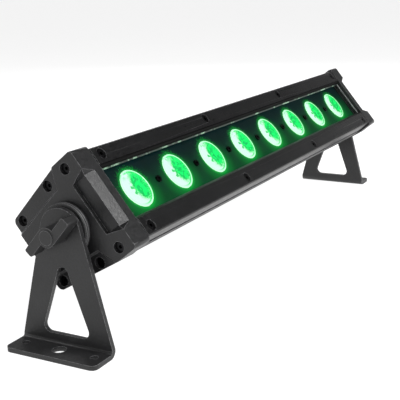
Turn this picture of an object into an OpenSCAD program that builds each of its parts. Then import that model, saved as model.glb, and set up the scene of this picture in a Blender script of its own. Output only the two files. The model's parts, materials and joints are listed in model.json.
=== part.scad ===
// LED strip batten: an extruded lamp bar with one row of lenses, cast end caps and two
// A-shaped floor brackets clamped by wing knobs. Millimetres, +Z up, bar along X,
// light towards -Y and up, origin on the floor below the middle of the pivot axis.

/* [Light row] */
// Number of lenses in the row
led_count = 8; // [6:1:10]
// Distance between neighbouring lenses
led_pitch = 57; // [47:0.1:70]
// Radius of a lens
lens_r = 15; // [12:0.5:18]
// Bar length beyond the last lens pitch, at each end of the row
row_margin = 5; // [4:0.5:12]

/* [Lamp section] */
// Half height of the front, at its outer edge
front_half = 35.5; // [34:0.5:43]
// How much wider the housing's shoulder is than its front, on each side
shoulder_flare = 1.8; // [0:0.1:2.5]
// Depth at which the housing is widest
shoulder_depth = 20; // [18:1:24]
// Half height of the housing at its back
back_half = 28; // [26:0.5:34]
// Depth of the housing from the front face to its back
back_depth = 73; // [68:0.1:90]
// Thickness of the housing's side walls
side_wall = 2.8; // [2:0.1:4]
// Half height of the window between the rails
window_half = 20; // [18:0.5:21]
// Thickness of the rails' front plates
rail_t = 4; // [3:0.5:5]
// Thickness of the window pane
pane_t = 3; // [2:0.5:4]

/* [End caps] */
// Thickness of an end cap
cap_len = 18; // [15:0.1:24]
// How far an end cap stands out past the housing's widest line
cap_proud = 0.9; // [0.5:0.1:3]
// Depth of the sunk corner panels in an end cap
lobe_sink = 1.7; // [1:0.1:3]
// Radius of the screw counterbores
counterbore_r = 4; // [3.8:0.1:4.5]

/* [Brackets] */
// Height of the pivot axis above the floor
pivot_h = 82.9; // [75:0.1:120]
// Resting tilt of the light above the horizon
tilt = 39; // [0:1:60]
// Depth of the pivot axis behind the front face
pivot_depth = 37.15; // [34:0.05:44]
// Sheet thickness of a bracket
bracket_t = 3.4; // [2.5:0.1:5]
// Gap between an end cap and its bracket
bracket_gap = 5.9; // [3:0.1:12]
// Width of a bracket's legs at the foot
leg_w = 18.4; // [12:0.1:22]
// Radius of a bracket's top
bracket_top_r = 16.1; // [13:0.1:22]
// Half width of a bracket's foot
foot_half = 36.8; // [32:0.1:60]
// How far a foot reaches out past its bracket's outer face
foot_reach = 21.1; // [16:0.1:40]
// Radius of the two fixing holes in a foot
foot_hole_r = 2.75; // [2:0.05:4]
// Radius of the middle hole in a foot
foot_centre_hole_r = 5; // [3:0.1:6]

/* [Knobs] */
// Distance from wing tip to wing tip
knob_span = 40; // [32:1:60]
// Radius of the knob's hub
knob_hub_r = 6.8; // [6:0.1:8]
// Width of a wing
wing_w = 6.6; // [5:0.1:6.8]
// Height of a knob along its axis
knob_h = 12.3; // [10:0.1:24]
// Angle of the wings above the horizon
wing_angle = 49; // [0:1:180]
// Radius of the clamping stud
stud_r = 4; // [3:0.1:5]

/* [Rear panel] */
// Length of the control panel
panel_len = 120; // [110:1:140]
// Half height of the control panel
panel_half = 20; // [18:0.5:22]
// Travel of a button
button_travel = 1; // [0.6:0.1:1]
// Distance of the data sockets from the middle of the bar
data_socket_x = 100; // [90:1:110]
// Distance of the power sockets from the middle of the bar
power_socket_x = 160; // [145:1:180]

/* [Hidden] */
$fn = 64;
EPS = 0.01; // overlap of shapes joined into one solid
OVER = 1; // how far a cut runs past the face it opens
BIG = 200; // larger than any section

// clearances
running_fit = 0.08; // radial, stud in bushing and bracket on stud
screw_fit = 0.02; // radial, screw shank in its thread
seat_gap = 0.3; // between separate pieces that don't clamp
face_gap = 0.3; // between faces of bodies that move past each other
screw_sunk = 0.5; // screw head below the surface round it
cap_screw_sunk = 2.2; // the same for the deep counterbores of an end cap

// lengths along the bar
inner_span = led_count*led_pitch + 2*row_margin;
body_len = inner_span + 2*cap_len;
end_gasket_t = 1;
housing_len = inner_span - 2*end_gasket_t;

// light chamber, as depths from the front face
edge_round = 0.8;
window_chamfer = 1.5;
pane_inset = 1.3;
pane_overlap = 3;
gasket_t = 0.6;
gasket_len_inset = 4;
ledge_t = 1.2;
pane_half = window_half + pane_overlap;
pane_depth = rail_t;
ledge_depth = pane_depth + pane_t + gasket_t;
plate_depth = ledge_depth + ledge_t;
plate_t = 1.2;
plate_overlap = 1;
plate_half = window_half + plate_overlap;
plate_step_depth = plate_depth + plate_t;
chamber_half = window_half - 0.5;
lens_proud = 0.4;
lens_depth = plate_depth - lens_proud;
lens_rim_t = 2;
lens_len = 13.4;
lens_taper_inset = 1.5;
lens_foot_r = 5;
lens_socket_depth = 3;
led_h = 1.6;
board_t = 1.6;
lens_board_gap = 2.6;
web_front = lens_depth + lens_len + lens_board_gap + board_t;
web_t = 5;
web_back = web_front + web_t;
board_depth = web_front - board_t;
led_side = 5;
led_dome_r = 1.8;
led_dome_h = 0.8;
holder_r = 9;
holder_wall = 1;
holder_h = 5;
board_inset = 1.5;
plate_screw_r = 1.5;
plate_screw_head_r = 2.7;
plate_screw_head_t = 1.4;
plate_screw_grip = 4;

// rails
skirt_depth = 11.6;
skirt_inset = 1.7;
skirt_half = front_half - skirt_inset;
rail_screw_p = skirt_half - 4.3;
rail_screw_inset = 9;
rail_screw_tip = 9;
rail_screw_n = 4;
groove_w = 2.9;
groove_depth = 1.2;
shoulder_half = front_half + shoulder_flare;
channel_gap = 2.5;
side_channel_gap = 1;
channel_wall = 3;

// screws
m4_r = 2;
m4_head_r = 3.5;
m4_head_t = 2.4;
m3_r = 1.5;
m3_head_r = 2.6;
m3_head_t = 1.2;
hex_key_r = 1.45;
hex_key_depth = 1.4;

// rear of the housing
back_wall = 5;
fin_depth = 2.5;
fin_pitch = 8;
fin_gap = 3;
fin_grooves = 3;
seat_depth = back_depth - fin_depth;
cavity_back = back_depth - back_wall;

// end caps
cap_half = shoulder_half + cap_proud;
front_screw_half = shoulder_half - 6.1;
cap_corner_r = 2.5;
cap_shoulder_r = 1;
cap_back_r = 4.5;
cap_back_half = back_half + 2;
cap_back = back_depth + 2.1;
cap_hollow_depth = 11;
cap_hollow_inset = 10;
cap_hollow_wall = 4;
bushing_wall = 3;
cap_screw_reach = 10;
cap_screw_spots = [
    [11.7, front_screw_half, false],
    [33, shoulder_half - 6.2, true],
    [cavity_back, back_half - 3.1, true]
];
port_r = 4.5;
lobe_corner = [shoulder_depth + 7, shoulder_half - 13.5];
lobe_rear_half = back_half - 10;
lobe_slope = 1.4;
scoop_reach = 10.5;
scoop_floor = 3.2;
scoop_chamfer_depth = 3.5;
scoop_depth = 14.1;
scoop_tip_half = front_screw_half - 7.4;
scoop_front_half = scoop_tip_half - 3.8;
scoop_floor_half = scoop_tip_half - 4.5;

// pivot
disc_r = 18.2;
disc_t = bracket_gap - face_gap;
disc_ring_depth = 0.5;
disc_ring_w = 0.6;
disc_bore_gap = 1;
bushing_r = 7;
bushing_len = 14;
bushing_bore_len = 12;
stud_reach = 10;
bracket_in = body_len/2 + bracket_gap;
bracket_out = bracket_in + bracket_t;
bend_in_r = 2;
bend_out_r = bend_in_r + bracket_t;
foot_corner_r = 4.5;
foot_hole_out = 9;
foot_hole_spread = 28.3;
hole_corner_r = 5;
hole_apex_r = 4.4;
hole_floor = 10;
hole_half = foot_half - leg_w;
hole_apex = pivot_h - 24.3;
face_corner_r = 0.5;
washer_t = 1.6;
washer_r = knob_hub_r;
knob_in = bracket_out + face_gap + washer_t + face_gap;
knob_skirt_h = 0.8;
knob_cap_r = 5;
knob_cap_h = 0.8;
wing_corner_r = 1.4;
knob_crown = 2.5; // solid plastic over the stud's end

// rear panel pieces
panel_t = 2;
panel_opening_inset = 6;
panel_screw_inset = 3.6;
display_len = 46;
display_half = 8;
display_x = -26;
display_t = 2.4;
display_lip = 2;
display_lip_t = 1;
button_n = 4;
button_first_x = 12;
button_pitch = 11.5;
button_r = 4;
button_flange = 0.9;
button_flange_t = 1;
button_proud = 1.2;
control_board_depth = seat_depth - 8.1;
control_board_inset = 1;
switch_side = 6;
switch_gap = 0.1;
display_module_inset = 1.5;

// sockets
socket_w = 26;
socket_h = 31;
socket_flange_t = 2;
socket_barrel_r = 11.8;
socket_len = 22;
socket_bore_r = 10;
socket_bore_len = 15;
socket_pin_r = 1.2;
socket_pin_len = 7;
socket_pin_ring = 4.5;
socket_screw_x = 9.5;
socket_screw_p = 12;

// electronics
supply_len = 130;
supply_half = 20;
supply_h = 14;
driver_len = 110;
driver_half = 18;
driver_x = 155;
standoff_r = 3;
standoff_h = 3;
standoff_inset = 6;
board_part = [12, 16, 8];
board_part_pitch = 32;

// ---- frames and general shapes ----

// places lamp shapes, drawn with X along the bar, Y as depth behind the front face and
// Z up the front face, at the resting tilt on the pivot axis
module lamp() {
    translate([0, 0, pivot_h]) rotate([-tilt, 0, 0]) translate([0, -pivot_depth, 0]) children();
}

// extrudes a [depth, height] section along the bar, centred
module along_bar(len) {
    rotate([90, 0, 90]) linear_extrude(len, center = true) children();
}

// a flat shape [x, height] in the plane of the front face, from depth a to depth b
module slab(a, b) {
    translate([0, b, 0]) rotate([90, 0, 0]) linear_extrude(b - a) children();
}

// a rod along the depth direction, from depth a to depth b
module rod(x, p, r, a, b) {
    translate([x, a, p]) rotate([-90, 0, 0]) cylinder(r = r, h = b - a);
}

module mirror_p() {
    children();
    mirror([0, 0, 1]) children();
}

module both_halves() {
    children();
    mirror([0, 1]) children();
}

// the right-hand pieces are the left-hand ones mirrored
module side(right) {
    if (right) mirror([1, 0, 0]) children();
    else children();
}

// unit normal of the line that touches circles a and b on their right
function touch_normal(a, b, ra, rb) =
    let (d = (b - a)/norm(b - a), k = (ra - rb)/norm(b - a))
    [d.y, -d.x]*sqrt(1 - k*k) + d*k;

// a convex outline with round corners: circles at c, counter-clockwise, radii r; its straight
// sides lie a hair inside their circles, which makes clean crossings
module round_outline(c, r) {
    n = len(c);
    polygon([for (i = [0:n - 1])
        let (j = (i + 1)%n, t = touch_normal(c[i], c[j], r[i], r[j]))
        each [c[i] + t*(r[i] - EPS), c[j] + t*(r[j] - EPS)]]);
    for (i = [0:n - 1]) translate(c[i]) circle(r[i]);
}

module round_rect(w, h, r) {
    x = w/2 - r;
    y = h/2 - r;
    round_outline([[-x, -y], [x, -y], [x, y], [-x, y]], [r, r, r, r]);
}

// a cap screw along the depth direction, its head's face at depth d
module cap_screw(x, p, d, r, head_r, head_t, tip) {
    difference() {
        union() {
            rod(x, p, head_r, d, d + head_t);
            rod(x, p, r, d + head_t - EPS, tip);
        }
        translate([x, d - EPS, p]) rotate([-90, 0, 0])
            cylinder(r = hex_key_r*r/m4_r, h = hex_key_depth*r/m4_r, $fn = 6);
    }
}

// ---- housing ----

// half height of the housing at a depth
function side_at(d) = d < shoulder_depth
    ? front_half + (shoulder_half - front_half)*d/shoulder_depth
    : shoulder_half - (shoulder_half - back_half)*(d - shoulder_depth)/(back_depth - shoulder_depth);

module housing_outline() {
    outer = [
        [rail_t, skirt_half],
        [skirt_depth + seat_gap, skirt_half],
        [skirt_depth + seat_gap, side_at(skirt_depth) - groove_depth],
        [skirt_depth + groove_w, side_at(skirt_depth + groove_w) - groove_depth],
        [skirt_depth + groove_w, side_at(skirt_depth + groove_w)],
        [shoulder_depth, shoulder_half],
        [back_depth, back_half]
    ];
    n = len(outer);
    polygon(concat(outer, [for (i = [n - 1:-1:0]) [outer[i].x, -outer[i].y]]));
}

// the steps that hold the pane and the lens plate, and the chamber behind them
module light_chamber() {
    for (step = [[ledge_depth, pane_half + seat_gap],
                 [plate_step_depth, plate_half + seat_gap],
                 [web_front, chamber_half]])
        translate([rail_t - OVER, -step.y]) square([step.x - rail_t + OVER, 2*step.y]);
}

// half height of the rear cavity at a depth
function cavity_half(d) = side_at(d) - side_wall;

// the rear cavity, with the round ports that take the end caps' screws left standing
module rear_cavity() {
    difference() {
        polygon([
            [web_back, -cavity_half(web_back)],
            [cavity_back, -cavity_half(cavity_back)],
            [cavity_back, cavity_half(cavity_back)],
            [web_back, cavity_half(web_back)]
        ]);
        for (s = cap_screw_spots) both_halves() translate([s.x, s.y]) circle(port_r);
    }
}

// hollow channels beside the light chamber
module side_channels() {
    a = skirt_depth + groove_w + channel_gap;
    b = web_front - side_channel_gap;
    inner = chamber_half + channel_wall;
    both_halves() polygon([
        [a, inner],
        [b, inner],
        [b, side_at(b) - side_wall],
        [a, side_at(a) - side_wall - groove_depth]
    ]);
}

module fin_cuts() {
    for (k = [-fin_grooves:fin_grooves])
        translate([seat_depth, k*fin_pitch - fin_gap/2]) square([fin_depth + OVER, fin_gap]);
}

function rail_screw_x(k) = (housing_len/2 - rail_screw_inset)*(2*k/(rail_screw_n - 1) - 1);
function lens_x(i) = (i - (led_count + 1)/2)*led_pitch;
function plate_screw_x(i) = lens_x(i) + led_pitch/2;

module housing() {
    color([0.10, 0.10, 0.11]) lamp() difference() {
        along_bar(housing_len) difference() {
            housing_outline();
            light_chamber();
            rear_cavity();
            side_channels();
            fin_cuts();
            for (s = cap_screw_spots)
                both_halves() translate([s.x, s.y]) circle(m4_r + screw_fit);
        }
        mirror_p() for (k = [0:rail_screw_n - 1])
            rod(rail_screw_x(k), rail_screw_p, m4_r + screw_fit, rail_t - OVER, rail_screw_tip + seat_gap);
        for (i = [1:led_count - 1])
            rod(plate_screw_x(i), 0, plate_screw_r + screw_fit, web_front - OVER, web_back + OVER);
        rear_openings();
    }
}

// seats and openings in the rear wall
module rear_openings() {
    slab(seat_depth, back_depth + OVER) panel_outline(seat_gap);
    slab(cavity_back - OVER, back_depth) square(
        [panel_len - 2*panel_opening_inset, 2*(panel_half - panel_opening_inset)], center = true);
    for (x = socket_xs) {
        slab(seat_depth, back_depth + OVER) translate([x, 0]) socket_flange(seat_gap);
        rod(x, 0, socket_barrel_r + seat_gap, cavity_back - OVER, back_depth);
        for (k = [-1, 1])
            rod(x + k*socket_screw_x, k*socket_screw_p, m3_r + screw_fit, cavity_back - OVER, back_depth);
    }
    for (x = panel_screw_xs, p = panel_screw_ps)
        rod(x, p, m3_r + screw_fit, cavity_back - OVER, back_depth);
}

module end_gasket() {
    color([0.05, 0.05, 0.05]) lamp() translate([-housing_len/2 - end_gasket_t/2, 0, 0])
        along_bar(end_gasket_t) difference() {
            housing_outline();
            light_chamber();
            rear_cavity();
            for (s = cap_screw_spots)
                both_halves() translate([s.x, s.y]) circle(m4_r + seat_gap);
        }
}

// ---- rails ----

module rail_outline() {
    polygon([
        [0, window_half + window_chamfer],
        [window_chamfer, window_half],
        [rail_t, window_half],
        [rail_t, skirt_half],
        [skirt_depth, skirt_half],
        [skirt_depth, side_at(skirt_depth)],
        [edge_round, side_at(edge_round)],
        [0, front_half - edge_round]
    ]);
}

module rail() {
    color([0.09, 0.09, 0.10]) difference() {
        along_bar(housing_len) rail_outline();
        for (k = [0:rail_screw_n - 1]) {
            rod(rail_screw_x(k), rail_screw_p, m4_r + seat_gap, -OVER, rail_t + OVER);
            rod(rail_screw_x(k), rail_screw_p, counterbore_r, -OVER, screw_sunk + m4_head_t);
        }
    }
}

module rail_screws() {
    color([0.16, 0.16, 0.17]) for (k = [0:rail_screw_n - 1])
        cap_screw(rail_screw_x(k), rail_screw_p, screw_sunk, m4_r, m4_head_r, m4_head_t, rail_screw_tip);
}

// ---- window and lenses ----

module window_pane() {
    color([0.75, 0.85, 0.82, 0.3]) lamp() slab(pane_depth, pane_depth + pane_t)
        square([housing_len - 2*pane_inset, 2*pane_half], center = true);
}

module window_gasket() {
    color([0.06, 0.06, 0.06]) lamp() slab(pane_depth + pane_t, ledge_depth) difference() {
        square([housing_len - 2*pane_inset, 2*pane_half], center = true);
        square([inner_span - 2*gasket_len_inset, 2*plate_half], center = true);
    }
}

module lens_plate() {
    color([0.05, 0.09, 0.07]) lamp() slab(plate_depth, plate_step_depth) difference() {
        square([housing_len - 2*seat_gap, 2*plate_half], center = true);
        for (i = [1:led_count]) translate([lens_x(i), 0]) circle(lens_r + seat_gap);
        for (i = [1:led_count - 1]) translate([plate_screw_x(i), 0]) circle(plate_screw_r + seat_gap);
    }
}

module lens_plate_screws() {
    color([0.14, 0.14, 0.14]) lamp() for (i = [1:led_count - 1])
        cap_screw(plate_screw_x(i), 0, plate_depth - plate_screw_head_t, plate_screw_r,
                  plate_screw_head_r, plate_screw_head_t, web_front + plate_screw_grip);
}

module lens(i) {
    color([0.1, 0.9, 0.35, 0.8]) lamp() translate([lens_x(i), lens_depth, 0]) rotate([-90, 0, 0])
        difference() {
            union() {
                cylinder(r = lens_r, h = lens_rim_t);
                translate([0, 0, lens_rim_t - EPS])
                    cylinder(r1 = lens_r - lens_taper_inset, r2 = lens_foot_r, h = lens_len - lens_rim_t);
            }
            translate([0, 0, lens_len - lens_socket_depth])
                cylinder(r = led_dome_r + 1, h = lens_socket_depth + OVER);
        }
}

module led(i) {
    color([0.85, 0.85, 0.6]) lamp() translate([lens_x(i), board_depth, 0]) {
        translate([-led_side/2, -led_h, -led_side/2]) cube([led_side, led_h, led_side]);
        translate([0, -led_h + EPS, 0]) rotate([90, 0, 0]) cylinder(r = led_dome_r, h = led_dome_h);
    }
}

// cups that centre the lenses' feet on the board
module lens_holders() {
    top = board_depth - holder_h;
    color([0.1, 0.1, 0.1]) lamp() for (i = [1:led_count]) difference() {
        rod(lens_x(i), 0, holder_r, top, board_depth);
        rod(lens_x(i), 0, holder_r - holder_wall, top - OVER, board_depth + OVER);
    }
}

module led_board() {
    color([0.05, 0.20, 0.12]) lamp() slab(board_depth, web_front) difference() {
        square([led_count*led_pitch - 2*board_inset, 2*(chamber_half - board_inset)], center = true);
        for (i = [1:led_count - 1]) translate([plate_screw_x(i), 0]) circle(plate_screw_r + seat_gap);
    }
}

// ---- electronics in the rear cavity ----

module standoffs(len, half) {
    for (x = [-1, 1], p = [-1, 1])
        rod(x*(len/2 - standoff_inset), p*(half - standoff_inset), standoff_r,
            web_back, web_back + standoff_h + EPS);
}

module power_supply() {
    color([0.55, 0.56, 0.58]) lamp() {
        slab(web_back + standoff_h, web_back + standoff_h + supply_h)
            square([supply_len, 2*supply_half], center = true);
        standoffs(supply_len, supply_half);
    }
}

module driver_board() {
    d = web_back + standoff_h;
    color([0.06, 0.24, 0.14]) lamp() translate([driver_x, 0, 0]) {
        slab(d, d + board_t) square([driver_len, 2*driver_half], center = true);
        standoffs(driver_len, driver_half);
        for (k = [-1:1]) translate([k*board_part_pitch, 0, 0])
            slab(d + board_t - EPS, d + board_t + board_part.z)
                square([board_part.x, board_part.y], center = true);
    }
}

// ---- end caps ----

module cap_outline() {
    // centre depth, half height and radius of the corners, front to back
    corners = [
        [cap_corner_r, cap_half - cap_corner_r, cap_corner_r],
        [shoulder_depth - cap_shoulder_r, cap_half - cap_shoulder_r, cap_shoulder_r],
        [cap_back - cap_back_r, cap_back_half - cap_back_r, cap_back_r]
    ];
    turn = [0, 1, 2, 2, 1, 0];
    round_outline(
        [for (i = [0:5]) [corners[turn[i]].x, corners[turn[i]].y*(i < 3 ? -1 : 1)]],
        [for (i = turn) corners[i].z]);
}

// outline of a sunk corner panel, drawn in by s at its floor
module lobe_outline(s) {
    slope = (lobe_corner.y - lobe_rear_half)/(cap_back - lobe_corner.x);
    polygon([
        [shoulder_depth + s, BIG/2],
        [shoulder_depth + s, cap_half + s],
        [lobe_corner.x + s, lobe_corner.y + s],
        [BIG/2, lobe_corner.y + s - slope*(BIG/2 - lobe_corner.x)],
        [BIG/2, BIG/2]
    ]);
}

// the left cap's end is at x = -body_len/2
module sunk_lobe() {
    hull() {
        translate([-body_len/2 - OVER, 0, 0]) along_bar(EPS) lobe_outline(-lobe_slope*OVER/lobe_sink);
        translate([-body_len/2 + lobe_sink, 0, 0]) along_bar(EPS) lobe_outline(lobe_slope);
    }
}

module scoop_edge() {
    translate([-OVER, -OVER, -scoop_tip_half]) cube([OVER, OVER, 2*scoop_tip_half]);
}

// the scooped notch in the front edge of the end
module scoop() {
    translate([-body_len/2, 0, 0]) {
        hull() {
            linear_extrude(2*scoop_front_half, center = true)
                polygon([[-OVER, -OVER], [scoop_reach + OVER, -OVER], [scoop_reach, 0],
                         [scoop_floor, scoop_chamfer_depth], [-OVER, scoop_chamfer_depth]]);
            scoop_edge();
        }
        hull() {
            translate([-OVER, 0, -scoop_floor_half])
                cube([scoop_floor + OVER, scoop_depth, 2*scoop_floor_half]);
            scoop_edge();
        }
    }
}

module end_cap() {
    x0 = -body_len/2;
    color([0.13, 0.13, 0.14]) lamp() difference() {
        translate([x0 + cap_len/2, 0, 0]) along_bar(cap_len) cap_outline();
        mirror_p() sunk_lobe();
        scoop();
        translate([x0 + cap_len, 0, 0]) cap_hollow();
        for (s = cap_screw_spots) mirror_p() translate([x0, s.x, s.y]) rotate([0, 90, 0]) {
            face = s.z ? lobe_sink : 0;
            translate([0, 0, -OVER])
                cylinder(r = counterbore_r, h = OVER + face + cap_screw_sunk + m4_head_t);
            cylinder(r = m4_r + seat_gap, h = cap_len + OVER);
        }
        translate([x0 - OVER, pivot_depth, 0]) rotate([0, 90, 0])
            cylinder(r = bushing_r, h = bushing_len + OVER);
    }
}

// pocket behind the cap's face, leaving a pillar for the bushing
module cap_hollow() {
    front = scoop_depth + cap_hollow_wall;
    half = back_half - cap_hollow_inset;
    rotate([0, -90, 0]) linear_extrude(cap_hollow_depth) difference() {
        translate([-half, front]) square([2*half, cavity_back - cap_hollow_wall - front]);
        translate([0, pivot_depth]) circle(bushing_r + bushing_wall);
    }
}

module cap_screws() {
    x0 = -body_len/2;
    color([0.16, 0.16, 0.17]) lamp() for (s = cap_screw_spots) {
        face = s.z ? lobe_sink : 0;
        mirror_p() translate([x0 + face + cap_screw_sunk, s.x, s.y]) rotate([0, 0, -90])
            cap_screw(0, 0, 0, m4_r, m4_head_r, m4_head_t,
                      cap_len + cap_screw_reach - face - cap_screw_sunk);
    }
}

// ---- pivots ----

// shapes along the pivot axis at the left end, distance measured out from the end face
module on_pivot(out) {
    translate([-body_len/2 - out, 0, pivot_h]) rotate([0, -90, 0]) children();
}

module pivot_disc() {
    color([0.12, 0.12, 0.13]) on_pivot(0) difference() {
        cylinder(r = disc_r, h = disc_t);
        translate([0, 0, -OVER]) cylinder(r = stud_r + disc_bore_gap, h = disc_t + 2*OVER);
        for (z = [disc_t/3, 2*disc_t/3]) translate([0, 0, z]) difference() {
            cylinder(r = disc_r + OVER, h = disc_ring_w);
            translate([0, 0, -OVER])
                cylinder(r = disc_r - disc_ring_depth, h = disc_ring_w + 2*OVER);
        }
    }
}

module bushing() {
    color([0.72, 0.58, 0.28]) on_pivot(-bushing_len) difference() {
        cylinder(r = bushing_r, h = bushing_len);
        translate([0, 0, bushing_len - bushing_bore_len])
            cylinder(r = stud_r + running_fit, h = bushing_bore_len + OVER);
    }
}

// outline of the upright plate, above the bend
module bracket_face() {
    r = face_corner_r;
    round_outline(
        [[-foot_half + r, bend_out_r + r], [foot_half - r, bend_out_r + r], [0, pivot_h]],
        [r, r, bracket_top_r]);
    translate([-foot_half, bend_out_r]) square([2*foot_half, r]);
}

module bracket_hole() {
    r = hole_corner_r;
    round_outline(
        [[-hole_half + r, hole_floor + r], [hole_half - r, hole_floor + r],
         [0, hole_apex - hole_apex_r]],
        [r, r, hole_apex_r]);
}

module bracket() {
    color([0.13, 0.13, 0.14]) difference() {
        union() {
            translate([-bracket_out, 0, 0]) rotate([90, 0, 90]) linear_extrude(bracket_t) bracket_face();
            translate([-bracket_in - bend_out_r, 0, bend_out_r]) rotate([90, 0, 0])
                linear_extrude(2*foot_half, center = true) difference() {
                    circle(bend_out_r);
                    circle(bend_in_r);
                    translate([-BIG, -BIG/2]) square([BIG, BIG]);
                    translate([-BIG/2, 0]) square([BIG, BIG]);
                }
            translate([-bracket_in - bend_out_r, 0, 0]) foot_plate();
        }
        translate([-bracket_out - OVER, 0, 0]) rotate([90, 0, 90])
            linear_extrude(bracket_t + 2*OVER) {
                bracket_hole();
                translate([0, pivot_h]) circle(stud_r + running_fit);
            }
        for (k = [-1, 0, 1]) translate([-bracket_out - foot_hole_out, k*foot_hole_spread, -OVER])
            cylinder(r = k == 0 ? foot_centre_hole_r : foot_hole_r, h = bracket_t + 2*OVER);
    }
}

// the foot past the bend, with round outer corners
module foot_plate() {
    l = bracket_t + foot_reach - bend_out_r;
    r = foot_corner_r;
    linear_extrude(bracket_t) {
        translate([-l + r, -foot_half]) square([l - r, 2*foot_half]);
        translate([-l, -foot_half + r]) square([l, 2*foot_half - 2*r]);
        for (s = [-1, 1]) translate([-l + r, s*(foot_half - r)]) circle(r);
    }
}

module washer() {
    color([0.5, 0.5, 0.52]) on_pivot(bracket_out - body_len/2 + face_gap) difference() {
        cylinder(r = washer_r, h = washer_t);
        translate([0, 0, -OVER]) cylinder(r = stud_r + running_fit, h = washer_t + 2*OVER);
    }
}

// one wing, tangent to the hub on one side, with round corners at its flat end
module wing() {
    tip = knob_span/2;
    r = wing_corner_r;
    translate([0, -knob_hub_r]) {
        square([tip - r, wing_w]);
        translate([0, r]) square([tip, wing_w - 2*r]);
        for (v = [r, wing_w - r]) translate([tip - r, v]) circle(r);
    }
}

module knob() {
    color([0.07, 0.07, 0.07]) on_pivot(knob_in - body_len/2) rotate(wing_angle - 90) difference() {
        union() {
            cylinder(r = knob_hub_r, h = knob_h);
            translate([0, 0, knob_skirt_h]) linear_extrude(knob_h - knob_skirt_h) {
                wing();
                rotate(180) wing();
            }
            translate([0, 0, knob_h - EPS]) cylinder(r = knob_cap_r, h = knob_cap_h);
        }
        translate([0, 0, -OVER]) cylinder(r = stud_r + screw_fit, h = OVER + knob_h - knob_crown);
    }
}

module stud() {
    color([0.6, 0.6, 0.62]) on_pivot(-stud_reach)
        cylinder(r = stud_r, h = stud_reach + knob_in - body_len/2 + knob_h - knob_crown);
}

// ---- control panel ----

panel_screw_xs = [-panel_len/2 + panel_screw_inset, panel_len/2 - panel_screw_inset];
panel_screw_ps = [-panel_half + panel_screw_inset, panel_half - panel_screw_inset];
panel_face = seat_depth + panel_t;
function button_x(i) = button_first_x + (i - 1)*button_pitch;

module panel_outline(grow) {
    round_rect(panel_len + 2*grow, 2*panel_half + 2*grow, 2);
}

module control_panel() {
    color([0.07, 0.07, 0.08]) lamp() difference() {
        slab(seat_depth, panel_face) difference() {
            panel_outline(0);
            translate([display_x, 0])
                square([display_len + 2*seat_gap, 2*display_half + 2*seat_gap], center = true);
            for (i = [1:button_n]) translate([button_x(i), 0]) circle(button_r + seat_gap);
            for (x = panel_screw_xs, p = panel_screw_ps) translate([x, p]) circle(m3_r + seat_gap);
        }
        for (x = panel_screw_xs, p = panel_screw_ps)
            rod(x, p, m3_head_r + seat_gap, panel_face - m3_head_t, panel_face + OVER);
    }
}

// screws that enter from the back, heads outward
module back_screw(x, p, face) {
    translate([x, face, p]) mirror([0, 1, 0])
        cap_screw(0, 0, 0, m3_r, m3_head_r, m3_head_t, face - cavity_back);
}

module panel_screws() {
    color([0.16, 0.16, 0.17]) lamp() for (x = panel_screw_xs, p = panel_screw_ps)
        back_screw(x, p, panel_face);
}

module display_window() {
    color([0.02, 0.05, 0.07, 0.9]) lamp() translate([display_x, 0, 0]) {
        slab(panel_face - display_t, panel_face)
            square([display_len, 2*display_half], center = true);
        slab(panel_face - display_t - display_lip_t, seat_depth)
            square([display_len + 2*display_lip, 2*display_half + 2*display_lip], center = true);
    }
}

module button(i) {
    color([0.35, 0.35, 0.37]) lamp() {
        rod(button_x(i), 0, button_r, seat_depth - face_gap - EPS, panel_face + button_proud);
        rod(button_x(i), 0, button_r + button_flange, seat_depth - face_gap - button_flange_t,
            seat_depth - face_gap);
    }
}

module control_board() {
    inset = panel_opening_inset + control_board_inset;
    switch_top = seat_depth - face_gap - button_flange_t - button_travel - switch_gap;
    color([0.06, 0.24, 0.14]) lamp() {
        slab(control_board_depth, control_board_depth + board_t)
            square([panel_len - 2*inset, 2*panel_half - 2*inset], center = true);
        for (i = [1:button_n]) translate([button_x(i), 0, 0])
            slab(control_board_depth + board_t - EPS, switch_top)
                square([switch_side, switch_side], center = true);
        translate([display_x, 0, 0])
            slab(control_board_depth + board_t - EPS, panel_face - display_t - display_lip_t)
                square([display_len - 2*display_module_inset, 2*display_half - 2*display_module_inset],
                       center = true);
    }
}

// ---- sockets ----

socket_xs = [-power_socket_x, -data_socket_x, data_socket_x, power_socket_x];

module socket_flange(grow) {
    round_rect(socket_w + 2*grow, socket_h + 2*grow, 2);
}

module socket_body(x) {
    face = seat_depth + socket_flange_t;
    difference() {
        union() {
            slab(seat_depth, face) translate([x, 0]) socket_flange(0);
            rod(x, 0, socket_barrel_r, face - socket_len, face - EPS);
        }
        rod(x, 0, socket_bore_r, face - socket_bore_len, face + OVER);
        for (k = [-1, 1])
            rod(x + k*socket_screw_x, k*socket_screw_p, m3_r + seat_gap, seat_depth - OVER, face + OVER);
    }
}

// contact pins on the socket's floor
module socket_pins(x) {
    floor_depth = seat_depth + socket_flange_t - socket_bore_len;
    for (a = [90, 210, 330])
        rod(x + socket_pin_ring*cos(a), socket_pin_ring*sin(a), socket_pin_r,
            floor_depth - OVER, floor_depth + socket_pin_len);
}

module data_in_socket() {
    color([0.12, 0.12, 0.12]) lamp() {
        socket_body(-data_socket_x);
        socket_pins(-data_socket_x);
    }
}

module data_out_socket() {
    color([0.12, 0.12, 0.12]) lamp() socket_body(data_socket_x);
}

module power_in_socket() {
    color([0.10, 0.20, 0.55]) lamp() socket_body(-power_socket_x);
}

module power_out_socket() {
    color([0.62, 0.62, 0.60]) lamp() socket_body(power_socket_x);
}

module socket_screws() {
    color([0.16, 0.16, 0.17]) lamp() for (x = socket_xs, k = [-1, 1])
        back_screw(x + k*socket_screw_x, k*socket_screw_p, seat_depth + socket_flange_t + m3_head_t);
}

// ---- nodes ----

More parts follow.
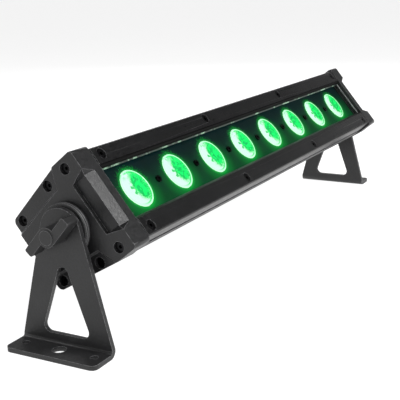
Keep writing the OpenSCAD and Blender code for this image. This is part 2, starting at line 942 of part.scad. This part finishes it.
housing();
lamp() rail();  // rail_top
lamp() mirror([0, 0, 1]) rail();  // rail_bottom
lamp() rail_screws();  // rail_screws_top
lamp() mirror([0, 0, 1]) rail_screws();  // rail_screws_bottom
window_pane();
window_gasket();
lens_plate();
lens_plate_screws();
lens_holders();
for (i = [1:led_count]) {
    lens(i);
    led(i);
}
led_board();
power_supply();
driver_board();
for (right = [false, true]) {
    name = right ? "right" : "left";
    side(right) end_cap();
    side(right) end_gasket();
    side(right) cap_screws();
    side(right) pivot_disc();
    side(right) bushing();
    side(right) bracket();
    side(right) washer();
    side(right) knob();
    side(right) stud();
}
control_panel();
panel_screws();
display_window();
control_board();
for (i = [1:button_n]) {
    button(i);
}
data_in_socket();
data_out_socket();
power_in_socket();
power_out_socket();
socket_screws();
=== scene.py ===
import json
import math

import bmesh
import bpy
from mathutils import Matrix, Vector


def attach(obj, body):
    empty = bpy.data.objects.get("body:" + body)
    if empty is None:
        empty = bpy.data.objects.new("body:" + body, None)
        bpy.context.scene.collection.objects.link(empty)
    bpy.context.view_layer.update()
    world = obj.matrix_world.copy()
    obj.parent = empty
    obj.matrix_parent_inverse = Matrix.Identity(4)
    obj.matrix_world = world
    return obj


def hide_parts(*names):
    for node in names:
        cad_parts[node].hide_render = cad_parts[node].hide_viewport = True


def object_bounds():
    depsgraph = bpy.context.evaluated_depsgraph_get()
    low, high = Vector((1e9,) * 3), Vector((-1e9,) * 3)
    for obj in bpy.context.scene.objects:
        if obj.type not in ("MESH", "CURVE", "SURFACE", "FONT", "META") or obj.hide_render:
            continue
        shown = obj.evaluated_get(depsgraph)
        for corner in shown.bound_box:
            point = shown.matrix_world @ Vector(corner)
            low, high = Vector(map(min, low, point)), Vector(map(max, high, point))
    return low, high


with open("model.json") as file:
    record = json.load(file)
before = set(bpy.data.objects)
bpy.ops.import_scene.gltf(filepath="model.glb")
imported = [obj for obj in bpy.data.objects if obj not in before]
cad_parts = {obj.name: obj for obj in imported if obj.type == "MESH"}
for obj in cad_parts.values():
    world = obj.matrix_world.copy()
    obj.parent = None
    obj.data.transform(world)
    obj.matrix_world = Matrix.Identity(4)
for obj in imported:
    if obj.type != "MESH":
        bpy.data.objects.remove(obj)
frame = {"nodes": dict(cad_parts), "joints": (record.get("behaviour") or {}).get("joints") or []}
CAD_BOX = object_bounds()
NODES = frame["nodes"]
JOINTS = {j["name"]: j for j in frame["joints"]}
MM = 0.001
LENSES = range(1, 9)
BUTTONS = range(1, 5)
SIDES = ("left", "right")

# The lamp's own axes: along the bar, back from the window, and up the window.
ALONG = Vector((1, 0, 0))
FACE = Vector(JOINTS["button_1_press"]["axis"]).normalized()
UP = FACE.cross(ALONG)
PIVOT = Vector((0, *JOINTS["bracket_left_tilt"]["pos_m"][1:]))
LAMP = Matrix((ALONG, -FACE, UP)).transposed().to_4x4()
LAMP.translation = PIVOT


def lamp_box(node):
    """Lowest and highest corner of a CAD node in the lamp's axes."""
    back = LAMP.inverted()
    points = [back @ v.co for v in NODES[node].data.vertices]
    return tuple(Vector(end(p[k] for p in points) for k in range(3)) for end in (min, max))


# ---- shader values ----


class Value:
    """A socket that takes part in sums: an expression adds its Math nodes."""

    def __init__(self, finish, socket):
        self.finish = finish
        self.socket = socket

    def _math(self, operation, *terms):
        return self.finish.node(
            "ShaderNodeMath", {"operation": operation}, dict(enumerate(terms))
        )

    def __add__(self, other):
        return self._math("ADD", self, other)

    def __radd__(self, other):
        return self._math("ADD", other, self)

    def __sub__(self, other):
        return self._math("SUBTRACT", self, other)

    def __rsub__(self, other):
        return self._math("SUBTRACT", other, self)

    def __mul__(self, other):
        return self._math("MULTIPLY", self, other)

    def __rmul__(self, other):
        return self._math("MULTIPLY", other, self)

    def __truediv__(self, other):
        return self._math("DIVIDE", self, other)

    def __rtruediv__(self, other):
        return self._math("DIVIDE", other, self)

    def __pow__(self, other):
        return self._math("POWER", self, other)

    def __rpow__(self, other):
        return self._math("POWER", other, self)

    def __abs__(self):
        return self._math("ABSOLUTE", self)

    def call(self, operation, *others):
        """Any other operation of a Math node, with its further terms."""
        return self._math(operation, self, *others)


class Finish:
    """The node tree of a material or of the world."""

    def __init__(self, owner):
        owner.use_nodes = True
        self.owner = owner
        self.tree = owner.node_tree
        self.tree.nodes.clear()

    def node(self, kind, settings=None, sockets=None, out=0):
        """Adds a node: its settings, then the values or links of its sockets."""
        made = self.tree.nodes.new(kind)
        for name, value in (settings or {}).items():
            setattr(made, name, value)
        for name, value in (sockets or {}).items():
            if isinstance(value, Value):
                self.tree.links.new(value.socket, made.inputs[name])
            else:
                made.inputs[name].default_value = value
        return Value(self, made.outputs[out]) if made.outputs else None

    def place(self):
        return self.node("ShaderNodeTexCoord", out="Object")

    def noise(self, place, size, detail=2, rough=0.5):
        """Soft noise round 0.5, with lumps of about size."""
        return self.node(
            "ShaderNodeTexNoise",
            sockets={"Vector": place, "Scale": 1 / size, "Detail": detail, "Roughness": rough},
            out="Fac",
        )

    def cells(self, place, size, out="Distance"):
        """Cells of about size: the distance to a cell's middle, or its own colour."""
        return self.node(
            "ShaderNodeTexVoronoi", sockets={"Vector": place, "Scale": 1 / size}, out=out
        )

    def span(self, value, low, high, to_low=0, to_high=1, soft=True):
        """Value mapped from low..high to to_low..to_high and kept inside."""
        return self.node(
            "ShaderNodeMapRange",
            {"interpolation_type": "SMOOTHSTEP" if soft else "LINEAR"},
            {
                "Value": value,
                "From Min": low,
                "From Max": high,
                "To Min": to_low,
                "To Max": to_high,
            },
        )

    def mix(self, share, a, b):
        """Colour a where share is 0, and b where it is 1."""
        return self.node(
            "ShaderNodeMix",
            {"data_type": "RGBA", "clamp_factor": True},
            {0: share, 6: colour(a), 7: colour(b)},
            out=2,
        )

    def dot(self, a, b):
        return self.node(
            "ShaderNodeVectorMath", {"operation": "DOT_PRODUCT"}, {0: a, 1: b}, out="Value"
        )

    def shift(self, a, b):
        return self.node("ShaderNodeVectorMath", {"operation": "SUBTRACT"}, {0: a, 1: b})

    def edges(self, width):
        """1 along the edges of a shape, where its rounded normal leaves the true one."""
        rounded = self.node("ShaderNodeBevel", {"samples": 6}, {"Radius": width})
        flat = self.node("ShaderNodeNewGeometry", out="True Normal")
        return self.span(1 - self.dot(rounded, flat), 0.01, 0.16)

    def bump(self, height, depth, strength):
        """A normal pushed about by a height, whose step from 0 to 1 is depth."""
        return self.node(
            "ShaderNodeBump", sockets={"Height": height, "Distance": depth, "Strength": strength}
        )

    def skin(self, **sockets):
        """The common shader. An underscore in a socket's name stands for a space."""
        named = {k.replace("_", " "): v for k, v in sockets.items()}
        return self.node("ShaderNodeBsdfPrincipled", sockets=named)

    def blend(self, share, a, b):
        """Shader a where share is 0, and b where it is 1."""
        return self.node("ShaderNodeMixShader", sockets={0: share, 1: a, 2: b})

    def finished(self, shader):
        """The material, with a shader led to its output."""
        self.node("ShaderNodeOutputMaterial", sockets={"Surface": shader})
        return self.owner

    def surface(self, **sockets):
        """The material, with the common shader."""
        return self.finished(self.skin(**sockets))


def colour(value):
    """Red, green and blue with their alpha. A link passes as it is."""
    return (*value, 1) if isinstance(value, tuple) else value


def tinted(base, share):
    """A colour made darker or lighter."""
    return tuple(share * c for c in base)


def lamp_height(f):
    """How far up the window a point lies from the pivot."""
    return f.dot(f.shift(f.place(), tuple(PIVOT)), tuple(UP))


def material(name):
    return Finish(bpy.data.materials.new(name))


# ---- finishes ----

# Pale colours of the painted highlight along edges.
EDGE_HIGHLIGHT_COAT = (0.3, 0.3, 0.31)
EDGE_HIGHLIGHT_PLASTIC = (0.2, 0.2, 0.205)
# Near-black matt colour, mixed over a coat as painted shade.
PAINTED_SHADE_BLACK = (0.004, 0.004, 0.004, 1)
LIP_HEIGHT = 2.2 * MM
GLASS_IOR = 1.45
# In shares of a lens's radius: the white-hot eye, a painted highlight, then the middles of the
# rings round the axis.
EYE_AT, EYE_REACH = (0.42, 0.1), (0.56, 0.84)
RIM_AT, GROOVE_AT, PETALS_AT = 0.945, 0.875, 0.22
RAYS = 52
# How the lens is lit, as painted glow: its painted highlight where the eye is, its glow beside
# it and on the rim.
EYE_HIGHLIGHT_GREEN, DEEP_GREEN, LEAF_GREEN = (0.8, 1.0, 0.86), (0.0, 0.3, 0.03), (0.0, 0.9, 0.1)
CROWN_GREEN, GROOVE_GREEN = (0.02, 0.75, 0.12), (0.0, 0.5, 0.05)
PETAL_GREEN, RIM_GREEN = (0.0, 0.3, 0.04), (0.66, 1.0, 0.74)


def powder_coat(name, base, rough, grain=0.6, lift=1.9, gloss=0.5, painted_shade=None):
    """Black powder coat: a pebbled skin, uneven in tone, made pale along its edges by a painted
    highlight.

    painted_shade says how much matt black, a painted shade, covers the coat at a point."""
    f = material(name)
    at = f.place()
    patch = f.noise(at, 26 * MM, 3)
    fleck = f.noise(at, 1.9 * MM, 3, 0.65)
    tone = f.span(0.65 * fleck + 0.35 * patch, 0.34, 0.66)
    paint = f.mix(tone, base, tinted(base, lift))
    # Painted highlight along the edges, broken up by the flecks.
    edge_highlight = f.edges(0.55 * MM) * f.span(fleck, 0.3, 0.6)
    pebble = f.noise(at, 1.1 * MM, 3, 0.6)
    coat = f.skin(
        Base_Color=f.mix(0.8 * edge_highlight, paint, EDGE_HIGHLIGHT_COAT),
        Roughness=rough + 0.4 * (fleck - 0.5),
        Specular_IOR_Level=gloss,
        Normal=f.bump(pebble + 0.6 * fleck, 0.22 * MM, grain),
    )
    if painted_shade is not None:
        # Painted shade: near-black matt where the mask says.
        shade_black = f.node("ShaderNodeBsdfDiffuse", sockets={"Color": PAINTED_SHADE_BLACK})
        coat = f.blend(painted_shade(f), coat, shade_black)
    return f.finished(coat)


def shade_under_lip(f):
    """Near 1 on the upper rail's lip beside the window, which faces down: the mask of its
    painted shade.
    """
    edge = lamp_box("rail_top")[0].z
    up = lamp_height(f)
    lip = f.span(up, edge + LIP_HEIGHT, edge + LIP_HEIGHT + 0.5 * MM, 1, 0)
    return 0.85 * lip * f.span(up, 0, 1 * MM)


def steel(name, base, rough):
    """Smeared metal with fine marks."""
    f = material(name)
    at = f.place()
    smear = f.noise(at, 3 * MM, 3, 0.6)
    line = f.noise(at, 0.35 * MM, 2, 0.7)
    return f.surface(
        Base_Color=f.mix(smear, tinted(base, 0.75), base),
        Metallic=1.0,
        Roughness=rough + 0.2 * (smear - 0.5),
        Normal=f.bump(line, 0.03 * MM, 0.3),
    )


def moulded(name, base, rough, grain=0.25, size=0.6, painted_edge_highlight=False):
    """Moulded plastic with a spark-eroded skin. With painted_edge_highlight, a painted highlight
    makes it paler along its edges.
    """
    f = material(name)
    at = f.place()
    cloud = f.noise(at, 9 * MM, 3)
    spark = f.noise(at, size * MM, 3, 0.6)
    tone = f.mix(cloud, tinted(base, 0.85), tinted(base, 1.2))
    if painted_edge_highlight:
        # Painted highlight along the edges.
        tone = f.mix(0.8 * f.edges(0.6 * MM), tone, EDGE_HIGHLIGHT_PLASTIC)
    return f.surface(
        Base_Color=tone,
        Roughness=rough + 0.12 * (spark - 0.5),
        Normal=f.bump(spark, 0.08 * MM, grain),
    )


def rubber(name, base):
    """Matt rubber, a little dusty."""
    f = material(name)
    at = f.place()
    dust = f.noise(at, 2.4 * MM, 4, 0.65)
    return f.surface(
        Base_Color=f.mix(f.span(dust, 0.45, 0.75), base, tinted(base, 1.8)),
        Roughness=0.72 + 0.2 * (dust - 0.5),
        Normal=f.bump(dust, 0.05 * MM, 0.3),
    )


def window_glass():
    """Clear flat glass: what is behind it, under a faint mirror image."""
    f = material("window_glass")
    smear = f.noise(f.place(), 40 * MM, 3, 0.6)
    clear = f.node("ShaderNodeBsdfTransparent", sockets={"Color": (0.93, 0.97, 0.95, 1)})
    shine = f.node(
        "ShaderNodeBsdfGlossy",
        sockets={"Color": (1, 1, 1, 1), "Roughness": 0.03 + 0.05 * smear},
    )
    edge = f.node("ShaderNodeFresnel", sockets={"IOR": GLASS_IOR})
    leaving = f.node("ShaderNodeNewGeometry", out="Backfacing")
    return f.finished(f.blend(edge * (1 - leaving), clear, shine))


def on_plate(f, centres, pitch):
    """How far across and up a point lies from the middle of its own lens."""
    at = f.shift(f.place(), tuple(PIVOT))
    x = f.dot(at, tuple(ALONG)) - (centres[0] - pitch / 2)
    across = (x / pitch).call("FRACT") * pitch - pitch / 2
    return across, f.dot(at, tuple(UP))


def plate_with_painted_glow(centres, pitch, radius):
    """Matt black plate with the green light spill of the lenses painted round each hole as glow.
    """
    f = material("lens_plate_coat")
    across, up = on_plate(f, centres, pitch)
    away = (across * across + up * up).call("SQRT") / radius
    near = f.span(away, 1.0, 1.3, 1, 0)
    wide = f.span(away, 1.0, 1.9, 1, 0)
    low = f.span(up / radius, 1.1, -1.2)
    speck = f.cells(f.place(), 1.3 * MM)
    # Painted specks of lens light just above each hole.
    above = f.span(away, 1.08, 1.4, 1, 0) * f.span(up, 0, 6 * MM)
    spark = f.span(speck, 0.1, 0.4, 1, 0) * above
    spill = 0.55 * near**2 + 0.3 * wide * low + 0.11 * low
    cloud = f.noise(f.place(), 13 * MM, 2)
    # Dim teal glow between the lenses, also painted light.
    dark = f.mix(cloud, (0.0, 0.004, 0.004), (0.0, 0.014, 0.018))
    glow = f.mix(f.span(spill, 0, 1, soft=False), dark, (0.0, 0.5, 0.05))
    glow = f.mix(0.8 * spark, glow, (0.0, 0.7, 0.05))
    grit = f.noise(f.place(), 0.8 * MM, 3, 0.6)
    return f.surface(
        Base_Color=f.mix(grit, (0.002, 0.004, 0.0035), (0.004, 0.008, 0.007)),
        Roughness=0.5 + 0.15 * (grit - 0.5),
        Specular_IOR_Level=0.1,
        Normal=f.bump(grit, 0.05 * MM, 0.3),
        # The emission is painted light from the lenses: the plate is no lamp.
        Emission_Color=glow,
        Emission_Strength=1.0,
    )


def lit_lens(centres, pitch, radius):
    """Clear moulded lens over a green light, whose light is painted on as glow: a white-hot
    painted highlight on one side, petals at its heart.
    """
    f = material("lens_clear")
    across, up = on_plate(f, centres, pitch)
    u = across / radius
    v = up / radius
    r = (u * u + v * v).call("SQRT")
    turn = v.call("ARCTAN2", u)
    du = (u - EYE_AT[0]) / EYE_REACH[0]
    dv = (v - EYE_AT[1]) / EYE_REACH[1]
    eye = (du * du + dv * dv).call("SQRT")
    ripple = f.noise(f.place(), 1.5 * MM, 3, 0.65)
    facet = f.cells(f.place(), 1.9 * MM, "Color")
    patch = f.dot(facet, (0.33, 0.33, 0.33))
    rays = (turn * RAYS + 3 * ripple).call("SINE") * f.span(r, 0.35, 0.9)
    # The eye: a painted highlight, fixed on the lens.
    eye_highlight = f.span(eye + 0.5 * (ripple - 0.5) + 0.07 * rays + 0.3 * (patch - 0.5), 0.72, 1.22)
    crown = f.span(v, 0.45, 0.85) * f.span(patch, 0.48, 0.56)
    rim = f.span(abs(r - RIM_AT), 0.02, 0.045, 1, 0)
    groove = f.span(abs(r - GROOVE_AT), 0.02, 0.05, 1, 0) * f.span(u, -0.5, 0.3)
    heart = f.span(abs(r - PETALS_AT), 0.08, 0.16, 1, 0)
    petals = (turn * PETALS + PETAL_TURN).call("SINE") * heart
    green = f.mix(f.span(patch + 0.25 * rays, 0.3, 0.7), DEEP_GREEN, LEAF_GREEN)
    light = f.mix(eye_highlight, green, EYE_HIGHLIGHT_GREEN)
    light = f.mix(0.7 * crown, light, CROWN_GREEN)
    light = f.mix(0.8 * groove, light, GROOVE_GREEN)
    light = f.mix(f.span(petals, 0.0, 0.3) * 0.9, light, PETAL_GREEN)
    light = f.mix(rim, light, RIM_GREEN)
    return f.surface(
        Base_Color=(0.02, 0.35, 0.12, 1),
        Roughness=0.12 + 0.1 * ripple,
        Emission_Color=light,
        Emission_Strength=1.15,
        Normal=f.bump(patch, 0.25 * MM, 0.4),
    )


def silicone():
    """Dark seal with pale ribbed stretches, which fade towards the window's lower edge and glow
    green with painted light of the lenses.
    """
    f = material("window_seal")
    at = f.place()
    ribs = f.node(
        "ShaderNodeTexWave",
        {"wave_type": "BANDS", "bands_direction": "X"},
        {"Vector": at, "Scale": 190, "Distortion": 0.6},
    )
    lump = f.noise(at, 16 * MM, 3, 0.6)
    upper = f.span(lamp_height(f), -20 * MM, 10 * MM)
    dash = f.span(lump, 0.5, 0.6) * (0.4 + 0.6 * ribs) * upper
    return f.surface(
        Base_Color=f.mix(dash, (0.008, 0.012, 0.01), (0.34, 0.44, 0.36)),
        Roughness=0.3 + 0.2 * lump,
        Normal=f.bump(ribs, 0.15 * MM, 0.5),
        # Painted light: the pale stretches glow as if lit by the lenses.
        Emission_Color=f.mix(dash, (0.0, 0.006, 0.004), (0.05, 0.2, 0.08)),
        Emission_Strength=1.0,
    )


# ---- meshes ----

WELD_GAP = 0.01 * MM
SHARP = math.radians(35)


def piece(name, bm, body, finish, smooth=True):
    """A mesh object from bm, riding on a body, in one finish."""
    mesh = bpy.data.meshes.new(name)
    bmesh.ops.recalc_face_normals(bm, faces=bm.faces)
    bm.to_mesh(mesh)
    bm.free()
    if smooth:
        mesh.shade_smooth()
    made = bpy.data.objects.new(name, mesh)
    bpy.context.scene.collection.objects.link(made)
    mesh.materials.append(finish)
    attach(made, body)
    return made


def turned(bm, profile, steps, at, wobble):
    """A turned shape: its profile is (radius, depth) pairs, from axis to axis.

    wobble gives the extra depth at a radius and an angle."""
    rings = []
    for r, d in profile:
        if r == 0:
            rings.append([bm.verts.new(at @ Vector((0, d, 0)))])
            continue
        ring = []
        for s in range(steps):
            a = 2 * math.pi * s / steps
            point = Vector((r * math.cos(a), d + wobble(r, a), r * math.sin(a)))
            ring.append(bm.verts.new(at @ point))
        rings.append(ring)
    for a, b in zip(rings, rings[1:]):
        for s in range(steps):
            t = (s + 1) % steps
            if len(a) == 1 and len(b) > 1:
                bm.faces.new((a[0], b[s], b[t]))
            elif len(b) == 1 and len(a) > 1:
                bm.faces.new((a[s], b[0], a[t]))
            else:
                bm.faces.new((a[s], b[s], b[t], a[t]))


def both(node):
    """The names of a node's left and right copies."""
    return [f"{node}_{side}" for side in SIDES]


def soften(node, width, segments=2):
    """Rounds a CAD node's edges by modifiers, which leaves its mesh as it is."""
    ob = NODES[node]
    weld = ob.modifiers.new("weld", "WELD")
    weld.merge_threshold = WELD_GAP
    bevel = ob.modifiers.new("soft_edges", "BEVEL")
    bevel.width = width
    bevel.segments = segments
    bevel.limit_method = "ANGLE"
    bevel.angle_limit = SHARP
    bevel.harden_normals = True
    bevel.miter_outer = "MITER_ARC"


def paint(finish, *nodes):
    """Gives CAD nodes a finish."""
    for node in nodes:
        for slot in NODES[node].material_slots:
            slot.material = finish


# ---- pieces ----

LENS_STEPS = 80
DISH = 1.3 * MM
PETALS, PETAL_TURN, PETAL_RISE = 5, 0.6, 0.16 * MM
FLUTES, FLUTE_RISE = 20, 0.07 * MM
RIM_DEPTH = 1.9 * MM
RIM_LEDGE = 1.5 * MM
CONE_FOOT = 5 * MM
# From the middle to the rim: shares of the radius, and of the dish's depth.
LENS_FACE = (
    (0, 1), (0.1, 1), (0.2, 0.8), (0.3, 0.95), (0.45, 0.8), (0.62, 0.62),
    (0.78, 0.42), (0.88, 0.28), (0.92, 0.06), (0.95, 0), (0.98, 0.08), (1, 0.3),
)
BEAD = 0.9 * MM
BEAD_GAP = 0.02 * MM
BEAD_END_GAP = 0.1 * MM
# Across the bead: how far in from the frame and forward of the pane, in shares of its width.
BEAD_ARC = ((0, 1), (0.35, 0.85), (0.75, 0.5), (0.95, 0.1), (1, 0))


def lens_optic(i, finish):
    """A lens with a rolled rim, a dished face with petals, and its cone behind."""
    lo, hi = lamp_box(f"lens_{i}")
    r = (hi.x - lo.x) / 2
    front, back = lo.y, hi.y
    at = LAMP @ Matrix.Translation(((lo.x + hi.x) / 2, 0, 0))

    def wobble(radius, a):
        share = radius / r
        petal = PETAL_RISE * math.sin(PETALS * a + PETAL_TURN) if 0.1 < share < 0.4 else 0
        flute = FLUTE_RISE * math.sin(FLUTES * a) if 0.45 < share < 0.86 else 0
        return petal + flute

    face = [(share * r, front + sunk * DISH) for share, sunk in LENS_FACE]
    neck = front + RIM_DEPTH
    cone = [(r, neck), (r - RIM_LEDGE, neck + 0.1 * MM), (CONE_FOOT, back), (0, back)]
    bm = bmesh.new()
    turned(bm, face + cone, LENS_STEPS, at, wobble)
    made = piece(f"lens_optic_{i}", bm, "lamp", finish)
    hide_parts(f"lens_{i}")


def window_seal(finish):
    """A bead of seal where the pane meets the frame round it."""
    rail = lamp_box("rail_top")
    pane = lamp_box("window_pane")
    half_x = rail[1].x - BEAD_END_GAP
    half_p = rail[0].z - BEAD_GAP
    depth = pane[0].y
    bm = bmesh.new()
    loops = []
    for inset, rise in BEAD_ARC:
        x, p, d = half_x - inset * BEAD, half_p - inset * BEAD, depth - rise * BEAD
        corners = [(-x, -p), (x, -p), (x, p), (-x, p)]
        loops.append([bm.verts.new(LAMP @ Vector((a, d, b))) for a, b in corners])
    for a, b in zip(loops, loops[1:]):
        for s in range(4):
            t = (s + 1) % 4
            bm.faces.new((a[s], a[t], b[t], b[s]))
    piece("window_seal", bm, "lamp", finish, smooth=False)


# ---- studio ----

FLOOR_RADIUS = 60
FLOOR_GAP = 0.05 * MM
FLOOR_GLOW = 0.86
# The world is dark above the first height and white below the second.
BAND = (0.26, 0.16)
DARK_SKY = (0.012, 0.012, 0.013)
BOX_AIM = Vector((-0.1, 0, 0.08))
BOX_AWAY = 1.6
BOX_SIZE = 0.6
# Each softbox: its name, its direction from the batten and its power.
SOFTBOXES = (
    ("key", (0.12, -0.71, 0.69), 21),
    ("end", (-1, 0.05, 0.3), 1.2),
    ("end_behind", (0.0, 0.94, 0.3), 5.0),
    ("far_behind", (0.85, 0.4, 0.35), 3.0),
    ("top", (-0.24, 0.5, 0.83), 7.0),
    ("edge", (-0.5, -0.6, 0.61), 4.0),
)
CAMERA_PLACE = (-0.694, -0.342, 0.246)
CAMERA_TURN, CAMERA_RISE, CAMERA_ROLL = (math.radians(a) for a in (-61.45, 14.90, -1.4))
CAMERA_LENS = 78.25
CAMERA_SHIFT = (-0.004, 0.004)


def studio_floor():
    """A wide pale floor that glows a little, so that shadows stay faint."""
    bm = bmesh.new()
    bmesh.ops.create_circle(bm, cap_ends=True, radius=FLOOR_RADIUS, segments=96)
    mesh = bpy.data.meshes.new("floor")
    bm.to_mesh(mesh)
    bm.free()
    floor = bpy.data.objects.new("floor", mesh)
    floor.location.z = CAD_BOX[0].z - FLOOR_GAP
    bpy.context.scene.collection.objects.link(floor)
    f = material("pale_floor")
    cloud = f.noise(f.place(), 0.4, 2)
    mesh.materials.append(
        f.surface(
            Base_Color=f.mix(cloud, (0.34, 0.34, 0.34), (0.36, 0.36, 0.36)),
            Roughness=0.9,
            Emission_Color=(1, 1, 1, 1),
            Emission_Strength=FLOOR_GLOW,
        )
    )


def studio_world():
    """Bright round the horizon and dark overhead."""
    world = bpy.data.worlds.new("studio")
    bpy.context.scene.world = world
    f = Finish(world)
    height = f.node("ShaderNodeSeparateXYZ", sockets={0: f.node("ShaderNodeTexCoord")}, out="Z")
    sky = f.mix(f.span(height, *BAND), DARK_SKY, (1.0, 1.0, 1.0))
    shade = f.node("ShaderNodeBackground", sockets={"Color": sky, "Strength": 1.0})
    f.node("ShaderNodeOutputWorld", sockets={"Surface": shade})


def softbox(name, direction, power):
    """A square area light that looks at the batten."""
    data = bpy.data.lights.new(name, "AREA")
    data.shape = "RECTANGLE"
    data.size = data.size_y = BOX_SIZE
    data.energy = power
    lamp = bpy.data.objects.new(name, data)
    bpy.context.scene.collection.objects.link(lamp)
    away = Vector(direction).normalized()
    lamp.location = BOX_AIM + away * BOX_AWAY
    lamp.rotation_mode = "QUATERNION"
    lamp.rotation_quaternion = away.to_track_quat("Z", "Y")


def studio_camera():
    """Near the left foot, a little above the bar, looking along it."""
    level = math.cos(CAMERA_RISE)
    back = Vector(
        (math.sin(CAMERA_TURN) * level, -math.cos(CAMERA_TURN) * level, math.sin(CAMERA_RISE))
    )
    data = bpy.data.cameras.new("camera")
    data.sensor_width = 36
    data.lens = CAMERA_LENS
    data.shift_x, data.shift_y = CAMERA_SHIFT
    data.clip_start = 0.01
    camera = bpy.data.objects.new("camera", data)
    bpy.context.scene.collection.objects.link(camera)
    camera.rotation_mode = "QUATERNION"
    look = (-back).to_track_quat("-Z", "Y")
    camera.rotation_quaternion = look @ Matrix.Rotation(CAMERA_ROLL, 3, "Z").to_quaternion()
    camera.location = CAMERA_PLACE
    bpy.context.scene.camera = camera


# ---- the batten ----

middles = [sum(c.x for c in lamp_box(f"lens_{i}")) / 2 for i in LENSES]
pitch = middles[1] - middles[0]
lens_r = (lamp_box("lens_1")[1].x - lamp_box("lens_1")[0].x) / 2

small_steel = [n for n in NODES if n.endswith("screws") or "_screws_" in n]
boards = ("led_board", "driver_board", "control_board")
gaskets = ("window_gasket", *both("end_gasket"))
panels = ("control_panel", "data_in_socket", "data_out_socket")
black_plastic = (0.012, 0.012, 0.0125)

paint(powder_coat("housing_coat", (0.016, 0.016, 0.017), 0.5), "housing")
# The upper rail's lip, which faces down, gets painted shade.
rail_coat = powder_coat("rail_coat", (0.005, 0.005, 0.0053), 0.36, gloss=0.3, painted_shade=shade_under_lip)
paint(rail_coat, "rail_top", "rail_bottom")
paint(powder_coat("cap_coat", (0.009, 0.009, 0.0095), 0.42, gloss=0.42), *both("end_cap"))
paint(
    powder_coat("bracket_coat", (0.011, 0.011, 0.0115), 0.46, 0.5, gloss=0.45), *both("bracket")
)
paint(steel("black_screw", (0.02, 0.02, 0.021), 0.35), *small_steel, *both("washer"))
paint(window_glass(), "window_pane")
paint(rubber("seal_rubber", (0.012, 0.012, 0.012)), *gaskets)
paint(plate_with_painted_glow(middles, pitch, lens_r), "lens_plate")
paint(moulded("holder_plastic", (0.02, 0.02, 0.02), 0.5), "lens_holders")
paint(moulded("led_chip", (0.8, 0.8, 0.6), 0.3), *(f"led_{i}" for i in LENSES))
paint(moulded("circuit_board", (0.02, 0.12, 0.06), 0.4), *boards)
paint(steel("supply_case", (0.6, 0.6, 0.62), 0.35), "power_supply")
paint(moulded("disc_plastic", black_plastic, 0.5, painted_edge_highlight=True), *both("pivot_disc"))
paint(steel("bushing_brass", (0.7, 0.5, 0.2), 0.35), *both("bushing"))
paint(steel("bare_steel", (0.45, 0.45, 0.47), 0.3), *both("stud"))
paint(moulded("knob_plastic", black_plastic, 0.48, 0.5, 1.4, painted_edge_highlight=True), *both("knob"))
paint(moulded("panel_plastic", (0.02, 0.02, 0.021), 0.5), *panels)
paint(moulded("display_tint", (0.01, 0.012, 0.016), 0.12, 0.05), "display_window")
paint(rubber("button_rubber", (0.1, 0.1, 0.105)), *(f"button_{i}" for i in BUTTONS))
paint(moulded("socket_blue", (0.02, 0.09, 0.4), 0.45), "power_in_socket")
paint(moulded("socket_grey", (0.42, 0.42, 0.4), 0.45), "power_out_socket")

for side in SIDES:
    soften(f"end_cap_{side}", 0.5 * MM)
    soften(f"bracket_{side}", 0.4 * MM)
    soften(f"knob_{side}", 0.8 * MM, 3)
    soften(f"pivot_disc_{side}", 0.3 * MM)
    soften(f"washer_{side}", 0.2 * MM)
    soften(f"cap_screws_{side}", 0.15 * MM, 1)
for rail in ("top", "bottom"):
    soften(f"rail_{rail}", 0.35 * MM)
    soften(f"rail_screws_{rail}", 0.15 * MM, 1)
soften("housing", 0.3 * MM)
soften("control_panel", 0.3 * MM)

lens_finish = lit_lens(middles, pitch, lens_r)
for i in LENSES:
    lens_optic(i, lens_finish)
window_seal(silicone())

studio_floor()
studio_world()
for box in SOFTBOXES:
    softbox(*box)
studio_camera()
bpy.context.scene.view_settings.view_transform = "Standard"
